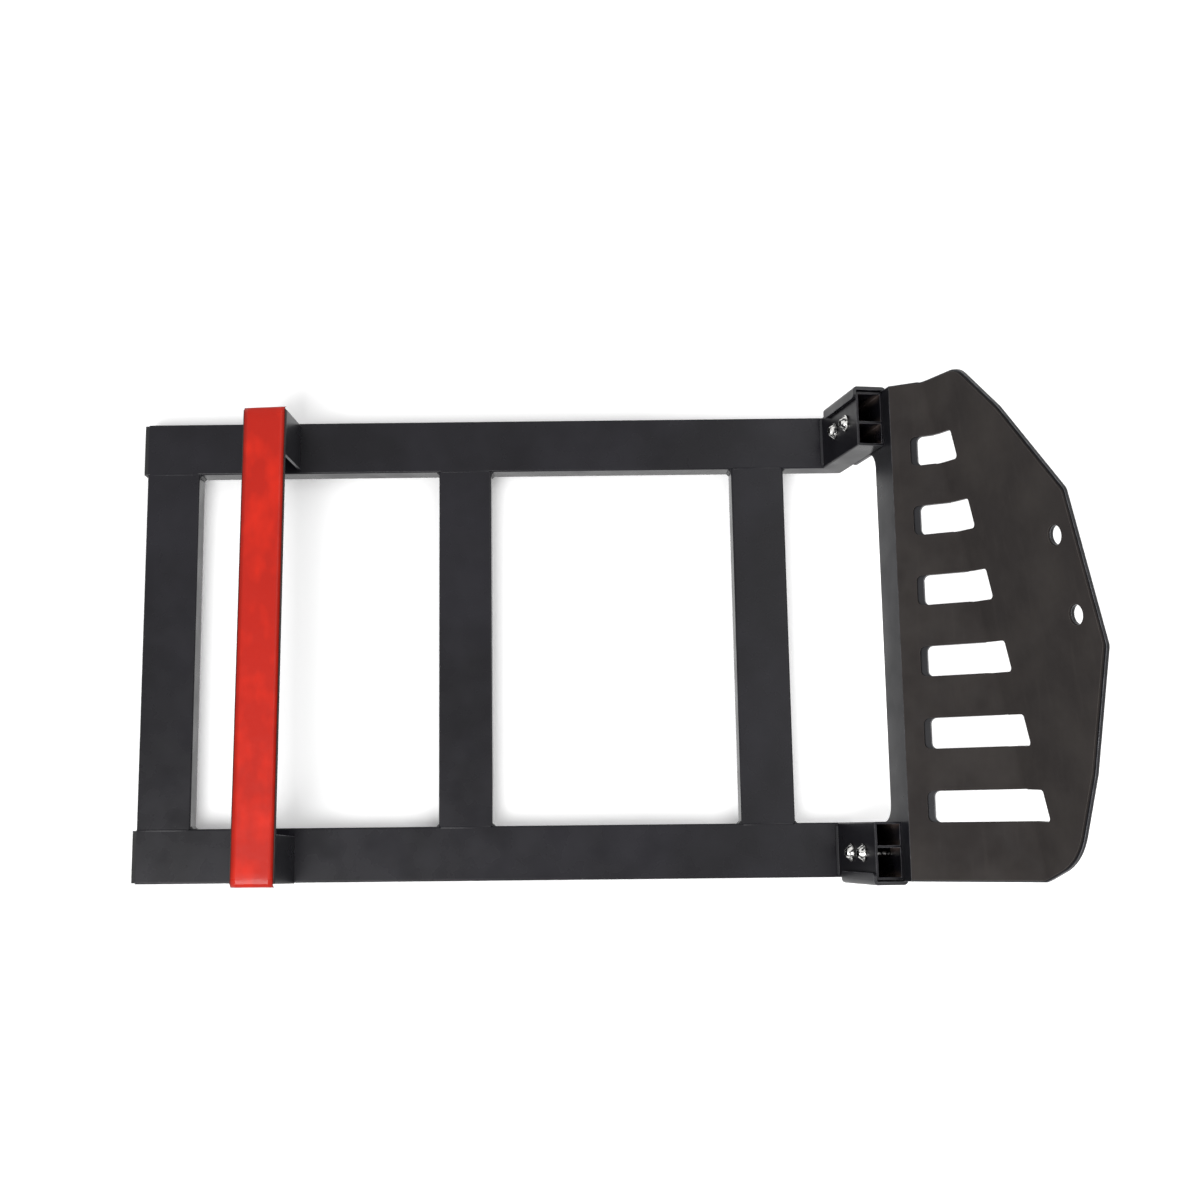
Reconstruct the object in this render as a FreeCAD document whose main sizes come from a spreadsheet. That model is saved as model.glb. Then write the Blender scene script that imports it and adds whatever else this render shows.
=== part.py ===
"""Side ladder for a vehicle roof rack: tube frame, taped standoff and bolted roof plate.

The ladder stands upright: +X to the right rail, +Y towards the vehicle, +Z up the rails.
The origin lies between the two roof bolt holes, on the plate's padded seat.
"""
import FreeCAD, Part
import os
import Sketcher

SIZES = [
    ("tube_width", 50.0, "broad side of the double-cell tube"),
    ("tube_depth", 25.0, "narrow side of the tube"),
    ("tube_wall", 2.0, "wall and web of the tube"),
    ("tube_corner", 1.6, "outer corner radius of the tube"),
    ("web_offset", 3.5, "web from the middle of the tube, towards the inside of the ladder"),
    ("rail_spacing", 387.5, "rail to rail, between centres"),
    ("rung_pitch", 281.5, "rung to rung, between centres"),
    ("corner_height", 652.0, "foot of the rails to the mitred corner, on the vehicle side"),
    ("arm_angle", 80.0, "turn of the rails at the mitred corner, degrees"),
    ("arm_length", 93.5, "mitred corner to the open end of an arm"),
    ("cap_thickness", 4.0, "flange of a rail's end cap"),
    ("cap_inset", 1.0, "cap flange inside the tube's outline"),
    ("cap_rounding", 1.5, "rounded rim of the cap flange"),
    ("plug_depth", 14.0, "cap plugs inside the tube"),
    ("plug_clearance", 0.2, "cap plug to tube wall"),
    ("bar_width", 40.0, "standoff bar, across"),
    ("bar_length", 435.0, "standoff bar, end to end"),
    ("bar_sheet", 2.5, "sheet of the standoff"),
    ("bar_bend", 3.5, "outer bend radius of the standoff"),
    ("bar_height", 62.8, "rail face to the standoff's seat, at its middle"),
    ("bar_position", 122.2, "foot of the rails to the middle of the standoff's seat"),
    ("bar_lean", 4.9, "standoff legs lean towards the foot, degrees"),
    ("bar_tilt", 1.6, "standoff is taller on the left rail, degrees"),
    ("tab_length", 43.0, "standoff leg, along the bar"),
    ("tape_thickness", 2.0, "foam tape on the standoff"),
    ("liner_thickness", 0.5, "release liner on the tape"),
    ("liner_turn", 2.5, "liner turned down over the bar's ends"),
    ("sheet", 3.0, "sheet of the roof plate"),
    ("ear_gap", 1.5, "arm side to the ear that wraps it"),
    ("ear_rounding", 4.0, "outer bend radius of the ears"),
    ("ear_low", 16.0, "mitred corner to the lower edge of the ears"),
    ("ear_high", 96.0, "mitred corner to the upper edge of the ears"),
    ("lip_width", 10.5, "return lip over the bolt face, from the ear's outside"),
    ("lip_gap", 0.5, "bolt face to the return lip"),
    ("lip_rounding", 4.0, "corner radius of the lip"),
    ("strip_low", 71.0, "mitred corner to the strip's lower edge"),
    ("strip_corner", 16.0, "inside radius between the strip and the tabs behind the arms"),
    ("first_bend", 110.0, "mitred corner to the plate's first bend"),
    ("panel_slope", 29.0, "lower panel against the rails, degrees"),
    ("plate_inset", 3.25, "outside of the ears to the plate's side edge"),
    ("second_bend", 73.0, "first bend to the second, at the plate's middle"),
    ("bend_skew", 10.9, "second bend against the first, degrees"),
    ("bend_turn", 42.0, "turn at the second bend, degrees"),
    ("bend_radius", 14.0, "inside radius of the second bend, on the plate"),
    ("roof_height", 146.0, "second bend to the plate's upper edge"),
    ("roof_offset", 5.0, "upper edge's middle from the plate's middle"),
    ("roof_half_width", 64.5, "half of the plate's upper edge"),
    ("roof_corner", 9.0, "corner radius of the upper edge"),
    ("knee_half_width", 156.0, "upper edge's middle to the kinks in the slanted edges"),
    ("knee_height", 93.5, "second bend to the kinks in the slanted edges"),
    ("shoulder_half_width", 214.0, "plate's middle to its shoulders"),
    ("right_shoulder", 54.0, "second bend to the right shoulder"),
    ("left_shoulder", 47.5, "second bend to the left shoulder"),
    ("right_shoulder_corner", 26.0, "corner radius of the right shoulder"),
    ("left_shoulder_corner", 60.0, "corner radius of the left shoulder"),
    ("slot_pitch", 62.6, "slot to slot"),
    ("slot_width", 26.5, "slot, across"),
    ("slot_start", 23.5, "first bend to the slots"),
    ("slot_reach", 25.6, "slots past the second bend"),
    ("slot_corner", 5.0, "corner radius of the slots' lower ends"),
    ("slot_end_corner", 3.5, "corner radius of the slots' upper ends"),
    ("hole_diameter", 16.0, "roof bolt hole"),
    ("hole_spacing", 66.0, "roof bolt hole to the other"),
    ("hole_height", 123.0, "second bend to the roof bolt holes"),
    ("pad_thickness", 2.0, "rubber pad on the vehicle side of the plate"),
    ("pad_inset", 1.5, "plate edge to the pad's edge"),
    ("pad_start", 1.0, "first bend to the pad's lower edge"),
    ("pad_cutback", 5.7, "pad slots longer than the plate's, at their lower ends"),
    ("pad_hole_diameter", 17.0, "roof bolt hole in the pad"),
    ("bolt_diameter", 8.0, "clamp bolt"),
    ("bolt_hole", 9.0, "clearance hole for a clamp bolt"),
    ("bolt_offset", 2.0, "clamp bolts outside the middle of the arm"),
    ("bolt_low", 36.0, "mitred corner to the lower clamp bolts"),
    ("bolt_pitch", 30.0, "lower clamp bolt to the upper one"),
    ("head_diameter", 14.0, "domed bolt head"),
    ("head_height", 4.4, "domed bolt head, above its flange"),
    ("head_flat", 7.5, "flat top of the domed head"),
    ("socket_flats", 5.0, "hexagon socket, across flats"),
    ("socket_depth", 2.6, "hexagon socket"),
    ("flange_diameter", 16.0, "washer flange of the bolt head"),
    ("flange_thickness", 1.6, "washer flange of the bolt head"),
    ("nut_flats", 13.0, "hexagon nut, across flats"),
    ("nut_height", 6.5, "hexagon nut"),
    ("nut_clearance", 0.05, "nut bore to bolt, all round"),
    ("bolt_end", 2.5, "bolt past its nut"),
]
SLOT_COUNT = 6
SIDES = (("right", 1), ("left", -1))
RUNGS = ("bottom", "middle", "top")
BOLTS = ("lower", "upper")

X_AXIS = FreeCAD.Vector(1, 0, 0)
Y_AXIS = FreeCAD.Vector(0, 1, 0)
Z_AXIS = FreeCAD.Vector(0, 0, 1)
THROUGH_ALL = 1
FREE = 1e-6

doc = FreeCAD.newDocument("side_ladder")
sheet = doc.addObject("Spreadsheet::Sheet", "sizes")
for row, (alias, number, meaning) in enumerate(SIZES, start=1):
    sheet.set(f"A{row}", meaning)
    sheet.set(f"B{row}", str(number))
    sheet.setAlias(f"B{row}", alias)
doc.recompute()
sub_parts = []


def value(expression):
    """Number that an expression on the sheet gives."""
    result = sheet.evalExpression(str(expression))
    return float(getattr(result, "Value", result))


def frame(x=0.0, y=0.0, z=0.0, axis=X_AXIS, angle=0.0):
    """Placement at a point, turned about an axis."""
    return FreeCAD.Placement(FreeCAD.Vector(x, y, z), FreeCAD.Rotation(axis, angle))


def new_body(label, placement):
    """Body of one sub-part, placed in the ladder."""
    body = doc.addObject("PartDesign::Body", label)
    body.Label = label
    body.Placement = placement
    sub_parts.append(body)
    return body


def new_sketch(body, name, plane="XY_Plane", offset=None):
    """Sketch on one of the body's own planes, moved by an offset."""
    sketch = body.newObject("Sketcher::SketchObject", f"{body.Name}_{name}")
    support = next(item for item in body.Origin.OriginFeatures if item.Role == plane)
    sketch.AttachmentSupport = [(support, "")]
    sketch.MapMode = "FlatFace"
    sketch.AttachmentOffset = offset or FreeCAD.Placement()
    return sketch


def pin_point(sketch, geometry, point, x, y):
    """Ties a sketch point to two expressions."""
    for kind, axis, expression in (("DistanceX", -2, x), ("DistanceY", -1, y)):
        distance = value(expression)
        if abs(distance) < FREE:
            sketch.addConstraint(Sketcher.Constraint("PointOnObject", geometry, point, axis))
        else:
            index = sketch.addConstraint(Sketcher.Constraint(kind, -1, 1, geometry, point, distance))
            sketch.setExpression(f"Constraints[{index}]", str(expression))


def polygon(sketch, corners):
    """Closed outline through corners given as pairs of expressions."""
    first = sketch.GeometryCount
    points = [FreeCAD.Vector(value(x), value(y), 0) for x, y in corners]
    for start, end in zip(points, points[1:] + points[:1]):
        sketch.addGeometry(Part.LineSegment(start, end))
    for step, (x, y) in enumerate(corners):
        following = first + (step + 1) % len(corners)
        sketch.addConstraint(Sketcher.Constraint("Coincident", first + step, 2, following, 1))
        pin_point(sketch, first + step, 1, x, y)


def rectangle(sketch, left, low, right, high):
    """Rectangle between four expressions."""
    polygon(sketch, [(left, low), (right, low), (right, high), (left, high)])


def circle(sketch, x, y, diameter):
    """Circle at a point given by expressions."""
    centre = FreeCAD.Vector(value(x), value(y), 0)
    index = sketch.addGeometry(Part.Circle(centre, Z_AXIS, value(diameter) / 2))
    pin_point(sketch, index, 3, x, y)
    size = sketch.addConstraint(Sketcher.Constraint("Diameter", index, value(diameter)))
    sketch.setExpression(f"Constraints[{size}]", str(diameter))


def hexagon(sketch, across_flats):
    """Hexagon about the sketch's origin."""
    corner = f"({across_flats}) / sqrt(3)"
    steps = ((1, 0), (0.5, 1), (-0.5, 1), (-1, 0), (-0.5, -1), (0.5, -1))
    polygon(sketch, [(f"{x} * {corner}", f"{y} * ({across_flats}) / 2") for x, y in steps])


def pad(body, sketch, length, both_ways=False, reverse=False):
    """Thickens a sketch by an expression."""
    feature = body.newObject("PartDesign::Pad", f"{sketch.Name}_pad")
    feature.Profile = sketch
    feature.setExpression("Length", str(length))
    feature.Midplane = both_ways
    feature.Reversed = reverse
    doc.recompute()
    return feature


def pocket(body, sketch, depth=None, reverse=False):
    """Cuts a sketch to a depth, or right through both ways."""
    before = body.Tip.Shape.Volume
    feature = body.newObject("PartDesign::Pocket", f"{sketch.Name}_cut")
    feature.Profile = sketch
    if depth is None:
        feature.Type = THROUGH_ALL
        feature.Midplane = True
    else:
        feature.setExpression("Length", str(depth))
        feature.Reversed = reverse
    doc.recompute()
    if feature.Shape.Volume > before - FREE:
        raise RuntimeError(f"{feature.Name} cuts nothing")
    return feature


def edges_at(shape, points, direction):
    """Names of the straight edges along a direction that pass through the points."""
    names = []
    for number, edge in enumerate(shape.Edges, start=1):
        if not isinstance(edge.Curve, Part.Line):
            continue
        if abs(abs(edge.Curve.Direction.dot(direction)) - 1) > 1e-4:
            continue
        middle = edge.CenterOfMass
        if any((middle - point).cross(direction).Length < 0.05 for point in points):
            names.append(f"Edge{number}")
    return names


def round_edges(body, name, points, direction, radius):
    """Rounds the edges that pass through the points."""
    base = body.Tip
    names = edges_at(base.Shape, points, direction)
    if len(names) < len(points):
        raise RuntimeError(f"{body.Name} {name}: {len(names)} edges for {len(points)} corners")
    feature = body.newObject("PartDesign::Fillet", f"{body.Name}_{name}")
    feature.Base = (base, names)
    feature.setExpression("Radius", str(radius))
    doc.recompute()
    return feature


MITRE = "(sizes.tube_depth * tan(sizes.arm_angle / 2))"
HALF_TUBE = "sizes.tube_width / 2"
ARM_SIDE = "(sizes.rail_spacing / 2 + sizes.tube_width / 2)"
ARM_INSIDE = "(sizes.rail_spacing / 2 - sizes.tube_width / 2)"
EAR_OUTSIDE = f"({ARM_SIDE} + sizes.ear_gap + sizes.sheet)"
PLATE_SIDE = f"({EAR_OUTSIDE} - sizes.plate_inset)"
PANEL_TURN = "(sizes.arm_angle - sizes.panel_slope)"
BEND_EXTRA = "(sizes.sheet * tan(sizes.bend_turn / 2))"

arm_turn = value("90 - sizes.arm_angle")
ladder_arm = frame(z=value("sizes.corner_height"), angle=arm_turn)
lower_panel = frame(y=value("sizes.first_bend"), z=value("sizes.tube_depth"), angle=value(PANEL_TURN))
skewed_panel = lower_panel * frame(y=value("sizes.second_bend"), axis=Z_AXIS, angle=-value("sizes.bend_skew"))
upper_panel = skewed_panel * frame(angle=-value("sizes.bend_turn"))
seat = FreeCAD.Vector(value("sizes.roof_offset"), value("sizes.hole_height"), -value("sizes.pad_thickness"))
ladder = FreeCAD.Placement(-(ladder_arm * upper_panel).multVec(seat), FreeCAD.Rotation())


def tube(label, placement, start, end, web_side):
    """Double-cell tube along Z, its vehicle side on the XZ plane."""
    body = new_body(label, placement)
    sketch = new_sketch(body, "section", offset=frame(z=value(start)))
    web = f"({web_side} * sizes.web_offset)"
    deep = "-(sizes.tube_depth - sizes.tube_wall)"
    rectangle(sketch, f"-{HALF_TUBE}", "-sizes.tube_depth", HALF_TUBE, "0")
    shallow, cell_end = "-sizes.tube_wall", f"({HALF_TUBE} - sizes.tube_wall)"
    rectangle(sketch, f"-{cell_end}", deep, f"{web} - sizes.tube_wall / 2", shallow)
    rectangle(sketch, f"{web} + sizes.tube_wall / 2", deep, cell_end, shallow)
    pad(body, sketch, f"({end}) - ({start})")
    half, depth = value(HALF_TUBE), value("sizes.tube_depth")
    corners = [FreeCAD.Vector(x, y, 0) for x in (-half, half) for y in (0, -depth)]
    round_edges(body, "corners", corners, Z_AXIS, "sizes.tube_corner")
    return body


def mitre(body, near, far):
    """Cuts a tube's end to the plane that halves the turn between rail and arm."""
    sketch = new_sketch(body, "mitre", "YZ_Plane")
    polygon(sketch, [("0", near), ("0", far), ("-sizes.tube_depth", far)])
    pocket(body, sketch)


def build_rail(side, sign):
    """Upright tube from the foot to the mitred corner."""
    place = ladder * frame(x=sign * value("sizes.rail_spacing / 2"))
    end = f"sizes.corner_height + {MITRE}"
    mitre(tube(f"rail_{side}", place, "0", end, -sign), "sizes.corner_height", end)


def build_arm(side, sign):
    """Tube that turns from the rail's corner towards the vehicle."""
    place = ladder * frame(
        x=sign * value("sizes.rail_spacing / 2"), z=value("sizes.corner_height"), angle=-value("sizes.arm_angle")
    )
    body = tube(f"arm_{side}", place, f"-{MITRE}", "sizes.arm_length", -sign)
    mitre(body, "0", f"-{MITRE}")
    sketch = new_sketch(body, "bolt_holes", "XZ_Plane")
    for step in range(len(BOLTS)):
        height = f"sizes.bolt_low + {step} * sizes.bolt_pitch"
        circle(sketch, f"{sign} * sizes.bolt_offset", height, "sizes.bolt_hole")
    pocket(body, sketch)


def build_rung(name, step):
    """Cross tube between the rails."""
    height = value(f"sizes.tube_width / 2 + {step} * sizes.rung_pitch")
    place = ladder * frame(z=height, axis=Y_AXIS, angle=90)
    tube(f"rung_{name}", place, f"-{ARM_INSIDE}", ARM_INSIDE, 1)


def build_cap(side, sign):
    """Plastic cap that plugs both cells at a rail's foot."""
    body = new_body(f"end_cap_{side}", ladder * frame(x=sign * value("sizes.rail_spacing / 2")))
    flange = new_sketch(body, "flange")
    edge = f"({HALF_TUBE} - sizes.cap_inset)"
    low, high = "-(sizes.tube_depth - sizes.cap_inset)", "-sizes.cap_inset"
    rectangle(flange, f"-{edge}", low, edge, high)
    pad(body, flange, "sizes.cap_thickness", reverse=True)
    rim = -value("sizes.cap_thickness")
    points = [FreeCAD.Vector(0, value(y), rim) for y in (low, high)]
    round_edges(body, "long_rim", points, X_AXIS, "sizes.cap_rounding")
    plugs = new_sketch(body, "plugs")
    inset = "(sizes.tube_wall + sizes.plug_clearance)"
    web = f"({-sign} * sizes.web_offset)"
    gap = "(sizes.tube_wall / 2 + sizes.plug_clearance)"
    plug_low, plug_high = f"-(sizes.tube_depth - {inset})", f"-{inset}"
    rectangle(plugs, f"-({HALF_TUBE} - {inset})", plug_low, f"{web} - {gap}", plug_high)
    rectangle(plugs, f"{web} + {gap}", plug_low, f"{HALF_TUBE} - {inset}", plug_high)
    pad(body, plugs, "sizes.plug_depth")


def standoff_frame():
    """Middle of the standoff's seat: Y out of the seat, X along the bar."""
    lean, tilt = value("sizes.bar_lean"), value("sizes.bar_tilt")
    middle = frame(y=value("sizes.bar_height"), z=value("sizes.bar_position"), angle=-lean)
    return ladder * middle * frame(axis=Z_AXIS, angle=-tilt)


def build_standoff():
    """Folded bar on two pairs of legs that stand on the rails."""
    channel = doc.addObject("PartDesign::Body", "standoff_channel")
    channel.Placement = standoff_frame()
    section = new_sketch(channel, "section", "YZ_Plane")
    half, leg = "sizes.bar_width / 2", "-(2 * sizes.bar_height)"
    inner = f"({half} - sizes.bar_sheet)"
    polygon(section, [
        (leg, f"-{half}"), (leg, f"-{inner}"), ("-sizes.bar_sheet", f"-{inner}"), ("-sizes.bar_sheet", inner),
        (leg, inner), (leg, half), ("0", half), ("0", f"-{half}"),
    ])
    pad(channel, section, "sizes.bar_length", both_ways=True)
    points = [FreeCAD.Vector(0, 0, sign * value(half)) for _, sign in SIDES]
    round_edges(channel, "bends", points, X_AXIS, "sizes.bar_bend")
    notch = new_sketch(channel, "notch")
    end = "(sizes.bar_length / 2 - sizes.tab_length)"
    rectangle(notch, f"-{end}", f"3 * {leg} / 2", end, "-sizes.bar_sheet")
    pocket(channel, notch)
    block = doc.addObject("Part::Box", "rail_faces")
    block.setExpression("Length", "2 * sizes.bar_length")
    block.setExpression("Width", "4 * sizes.bar_height")
    block.setExpression("Height", "4 * sizes.bar_width")
    low = value("sizes.bar_position - 2 * sizes.bar_width")
    block.Placement = ladder * frame(-value("sizes.bar_length"), -value("4 * sizes.bar_height"), low)
    standoff = doc.addObject("Part::Cut", "standoff_bracket")
    standoff.Label = "standoff_bracket"
    standoff.Base, standoff.Tool = channel, block
    sub_parts.append(standoff)


def build_tape():
    """Foam tape on the standoff's seat, and the release liner that covers it."""
    tape = new_body("adhesive_tape", standoff_frame())
    face = new_sketch(tape, "face", "XZ_Plane")
    half, end = "sizes.bar_width / 2", "sizes.bar_length / 2"
    rectangle(face, f"-{end}", f"-{half}", end, half)
    pad(tape, face, "sizes.tape_thickness", reverse=True)
    liner = new_body("release_liner", standoff_frame())
    side = new_sketch(liner, "side")
    outer = f"({end} + sizes.liner_thickness)"
    top = "(sizes.tape_thickness + sizes.liner_thickness)"
    polygon(side, [
        (f"-{outer}", "-sizes.liner_turn"), (f"-{end}", "-sizes.liner_turn"), (f"-{end}", "sizes.tape_thickness"),
        (end, "sizes.tape_thickness"), (end, "-sizes.liner_turn"), (outer, "-sizes.liner_turn"),
        (outer, top), (f"-{outer}", top),
    ])
    pad(liner, side, "sizes.bar_width", both_ways=True)


def bent_panels(body, low, extra, thickness, inset, bends, reverse=False):
    """Lower and upper panel as one bent sheet, trimmed to the plate's outline inside an inset."""
    wide = f"({PLATE_SIDE} * 1.15)"
    drop = f"(sizes.second_bend - {low})"
    foot = [f"(({sign} * {wide} * sin(sizes.bend_skew) - {drop}) / cos(sizes.bend_skew))" for _, sign in SIDES]
    lower = new_sketch(body, "lower_panel", offset=skewed_panel)
    polygon(lower, [(wide, foot[0]), (wide, extra), (f"-{wide}", extra), (f"-{wide}", foot[1])])
    pad(body, lower, thickness, reverse=reverse)
    upper = new_sketch(body, "upper_panel", offset=upper_panel)
    rectangle(upper, f"-{wide}", f"-{extra}", wide, "sizes.roof_height")
    pad(body, upper, thickness, reverse=reverse)
    soften_bend(body, bends)
    sides = new_sketch(body, "sides", offset=lower_panel)
    past = "(sizes.second_bend + sizes.sheet)"
    for _, sign in SIDES:
        near, far = f"{sign} * ({PLATE_SIDE} - {inset})", f"{sign} * 2 * {wide}"
        lean = [f"{past} - ({x}) * tan(sizes.bend_skew)" for x in (near, far)]
        polygon(sides, [(near, "-sizes.sheet"), (far, "-sizes.sheet"), (far, lean[1]), (near, lean[0])])
    pocket(body, sides)
    outline = new_sketch(body, "outline", offset=upper_panel)
    corners = upper_corners(inset, "sizes.sheet")
    around = f"(2 * {wide})"
    polygon(outline, corners + [
        (f"-{around}", "-sizes.sheet"), (f"-{around}", "2 * sizes.roof_height"), (around, "2 * sizes.roof_height"),
        (around, "-sizes.sheet"),
    ])
    pocket(body, outline)
    round_roof_panel(body, corners)


def upper_corners(inset, extra):
    """Corners of the panel over the roof, from the right end of the bend round to the left."""
    middle = "sizes.roof_offset"
    side = f"(({PLATE_SIDE} - {inset}) / cos(sizes.bend_skew))"
    shoulder = f"(sizes.shoulder_half_width - {inset})"
    knee = f"(sizes.knee_half_width - {inset})"
    roof = f"(sizes.roof_half_width - {inset})"
    return [
        (side, f"-{extra}"), (shoulder, f"sizes.right_shoulder - {inset}"),
        (f"{middle} + {knee}", f"sizes.knee_height - {inset}"),
        (f"{middle} + {roof}", f"sizes.roof_height - {inset}"),
        (f"{middle} - {roof}", f"sizes.roof_height - {inset}"),
        (f"{middle} - {knee}", f"sizes.knee_height - {inset}"),
        (f"-{shoulder}", f"sizes.left_shoulder - {inset}"), (f"-{side}", f"-{extra}"),
    ]


def soften_bend(body, bends):
    """Rounds the second bend at depths behind the plate's vehicle side."""
    along = skewed_panel.Rotation.multVec(X_AXIS)
    for name, depth, radius in bends:
        spot = FreeCAD.Vector(0, value(f"({depth}) * tan(sizes.bend_turn / 2)"), value(depth))
        round_edges(body, f"{name}_bend", [skewed_panel.multVec(spot)], along, radius)


def round_roof_panel(body, corners):
    """Rounds the corners of the panel over the roof."""
    normal = upper_panel.Rotation.multVec(Z_AXIS)
    spots = [upper_panel.multVec(FreeCAD.Vector(value(x), value(y), 0)) for x, y in corners]
    round_edges(body, "right_shoulder", spots[1:2], normal, "sizes.right_shoulder_corner")
    round_edges(body, "roof_corners", spots[3:5], normal, "sizes.roof_corner")
    round_edges(body, "left_shoulder", spots[6:7], normal, "sizes.left_shoulder_corner")


def cut_slots(body, start):
    """Six slots that run up the lower panel and over the second bend."""
    lower = new_sketch(body, "lower_slots", offset=lower_panel)
    upper = new_sketch(body, "upper_slots", offset=upper_panel)
    low_spots, high_spots = [], []
    past = "sizes.sheet"
    for step in range(SLOT_COUNT):
        middle = f"({step - (SLOT_COUNT - 1) / 2} * sizes.slot_pitch)"
        left, right = f"({middle} - sizes.slot_width / 2)", f"({middle} + sizes.slot_width / 2)"
        bend = [f"(sizes.second_bend + {past} - {x} * tan(sizes.bend_skew))" for x in (left, right)]
        polygon(lower, [(left, start), (right, start), (right, bend[1]), (left, bend[0])])
        corners = []
        for height in (f"-{past}", "sizes.slot_reach"):
            lean = f"({height}) * tan(sizes.bend_skew)"
            corners.append([(f"{x} / cos(sizes.bend_skew) - {lean}", height) for x in (left, right)])
        polygon(upper, [corners[0][0], corners[0][1], corners[1][1], corners[1][0]])
        low_spots += [lower_panel.multVec(FreeCAD.Vector(value(x), value(start), 0)) for x in (left, right)]
        high_spots += [upper_panel.multVec(FreeCAD.Vector(value(x), value(y), 0)) for x, y in corners[1]]
    pocket(body, lower)
    pocket(body, upper)
    round_edges(body, "slot_corners", low_spots, lower_panel.Rotation.multVec(Z_AXIS), "sizes.slot_corner")
    round_edges(body, "slot_ends", high_spots, upper_panel.Rotation.multVec(Z_AXIS), "sizes.slot_end_corner")


def cut_roof_holes(body, diameter):
    """Two bolt holes near the plate's upper edge."""
    sketch = new_sketch(body, "roof_holes", offset=upper_panel)
    for _, sign in SIDES:
        circle(sketch, f"sizes.roof_offset + {sign} * sizes.hole_spacing / 2", "sizes.hole_height", diameter)
    pocket(body, sketch)


def build_plate():
    """Folded plate: ears round the arms, a strip between them, two panels over the roof edge."""
    body = new_body("mount_plate", ladder * ladder_arm)
    behind = frame(z=value("sizes.tube_depth"))
    strip = new_sketch(body, "strip", offset=behind)
    inside, edge = ARM_INSIDE, PLATE_SIDE
    polygon(strip, [
        (f"-{EAR_OUTSIDE}", "sizes.ear_low"), (f"-{inside}", "sizes.ear_low"), (f"-{inside}", "sizes.strip_low"),
        (inside, "sizes.strip_low"), (inside, "sizes.ear_low"), (EAR_OUTSIDE, "sizes.ear_low"),
        (EAR_OUTSIDE, "sizes.ear_high"), (edge, "sizes.ear_high"), (edge, "sizes.first_bend"),
        (f"-{edge}", "sizes.first_bend"), (f"-{edge}", "sizes.ear_high"), (f"-{EAR_OUTSIDE}", "sizes.ear_high"),
    ])
    pad(body, strip, "sizes.sheet")
    spots = [FreeCAD.Vector(sign * value(inside), value("sizes.strip_low"), 0) for _, sign in SIDES]
    round_edges(body, "strip_corners", spots, Z_AXIS, "sizes.strip_corner")
    front = "-(sizes.lip_gap + sizes.sheet)"
    for side, sign in SIDES:
        near = value(f"{EAR_OUTSIDE} - sizes.sheet") if sign > 0 else -value(EAR_OUTSIDE)
        ear = new_sketch(body, f"ear_{side}", "YZ_Plane", frame(z=near))
        rectangle(ear, "sizes.ear_low", front, "sizes.ear_high", "sizes.tube_depth + sizes.sheet")
        pad(body, ear, "sizes.sheet")
        lip = new_sketch(body, f"lip_{side}", offset=frame(z=value(front)))
        free, root = f"{sign} * ({EAR_OUTSIDE} - sizes.lip_width)", f"{sign} * {EAR_OUTSIDE}"
        rectangle(lip, free, "sizes.ear_low", root, "sizes.ear_high")
        pad(body, lip, "sizes.sheet")
        spots = [FreeCAD.Vector(value(free), value(f"sizes.ear_{end}"), 0) for end in ("low", "high")]
        round_edges(body, f"lip_{side}_ends", spots, Z_AXIS, "sizes.lip_rounding")
        outer = sign * value(EAR_OUTSIDE)
        spots = [FreeCAD.Vector(outer, 0, value(z)) for z in (front, "sizes.tube_depth + sizes.sheet")]
        round_edges(body, f"ear_{side}_bends", spots, Y_AXIS, "sizes.ear_rounding")
    bends = (("inner", "0", "sizes.bend_radius"), ("outer", "sizes.sheet", "sizes.bend_radius + sizes.sheet"))
    bent_panels(body, "0", BEND_EXTRA, "sizes.sheet", "0", bends)
    cut_slots(body, "sizes.slot_start")
    cut_roof_holes(body, "sizes.hole_diameter")
    holes = new_sketch(body, "bolt_holes", offset=behind)
    for _, sign in SIDES:
        for step in range(len(BOLTS)):
            x = f"{sign} * (sizes.rail_spacing / 2 + sizes.bolt_offset)"
            circle(holes, x, f"sizes.bolt_low + {step} * sizes.bolt_pitch", "sizes.bolt_hole")
    pocket(body, holes, "sizes.sheet", reverse=True)


def build_pad():
    """Rubber pad glued to the vehicle side of both panels."""
    body = new_body("plate_pad", ladder * ladder_arm)
    inner = "sizes.bend_radius - sizes.pad_thickness"
    bends = (("inner", "-sizes.pad_thickness", inner), ("outer", "0", "sizes.bend_radius"))
    bent_panels(body, "sizes.pad_start", "0", "sizes.pad_thickness", "sizes.pad_inset", bends, reverse=True)
    cut_slots(body, "(sizes.slot_start - sizes.pad_cutback)")
    cut_roof_holes(body, "sizes.pad_hole_diameter")


def build_bolt(label, place):
    """Domed socket bolt with its head on the foot side of the arm."""
    bolt = new_body(f"bolt_{label}", place)
    profile = new_sketch(bolt, "profile", "XZ_Plane")
    flange, top = "-sizes.flange_thickness", "-(sizes.flange_thickness + sizes.head_height)"
    tip = "sizes.tube_depth + sizes.sheet + sizes.nut_height + sizes.bolt_end"
    brim, shank = "sizes.flange_diameter / 2", "sizes.bolt_diameter / 2"
    polygon(profile, [
        ("0", top), ("sizes.head_flat / 2", top), ("sizes.head_diameter / 2", flange), (brim, flange),
        (brim, "0"), (shank, "0"), (shank, tip), ("0", tip),
    ])
    turned = bolt.newObject("PartDesign::Revolution", f"{bolt.Name}_turned")
    turned.Profile = profile
    turned.ReferenceAxis = (profile, ["V_Axis"])
    turned.Angle = 360.0
    doc.recompute()
    socket = new_sketch(bolt, "socket", offset=frame(z=value(top)))
    hexagon(socket, "sizes.socket_flats")
    pocket(bolt, socket, "sizes.socket_depth", reverse=True)


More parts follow.
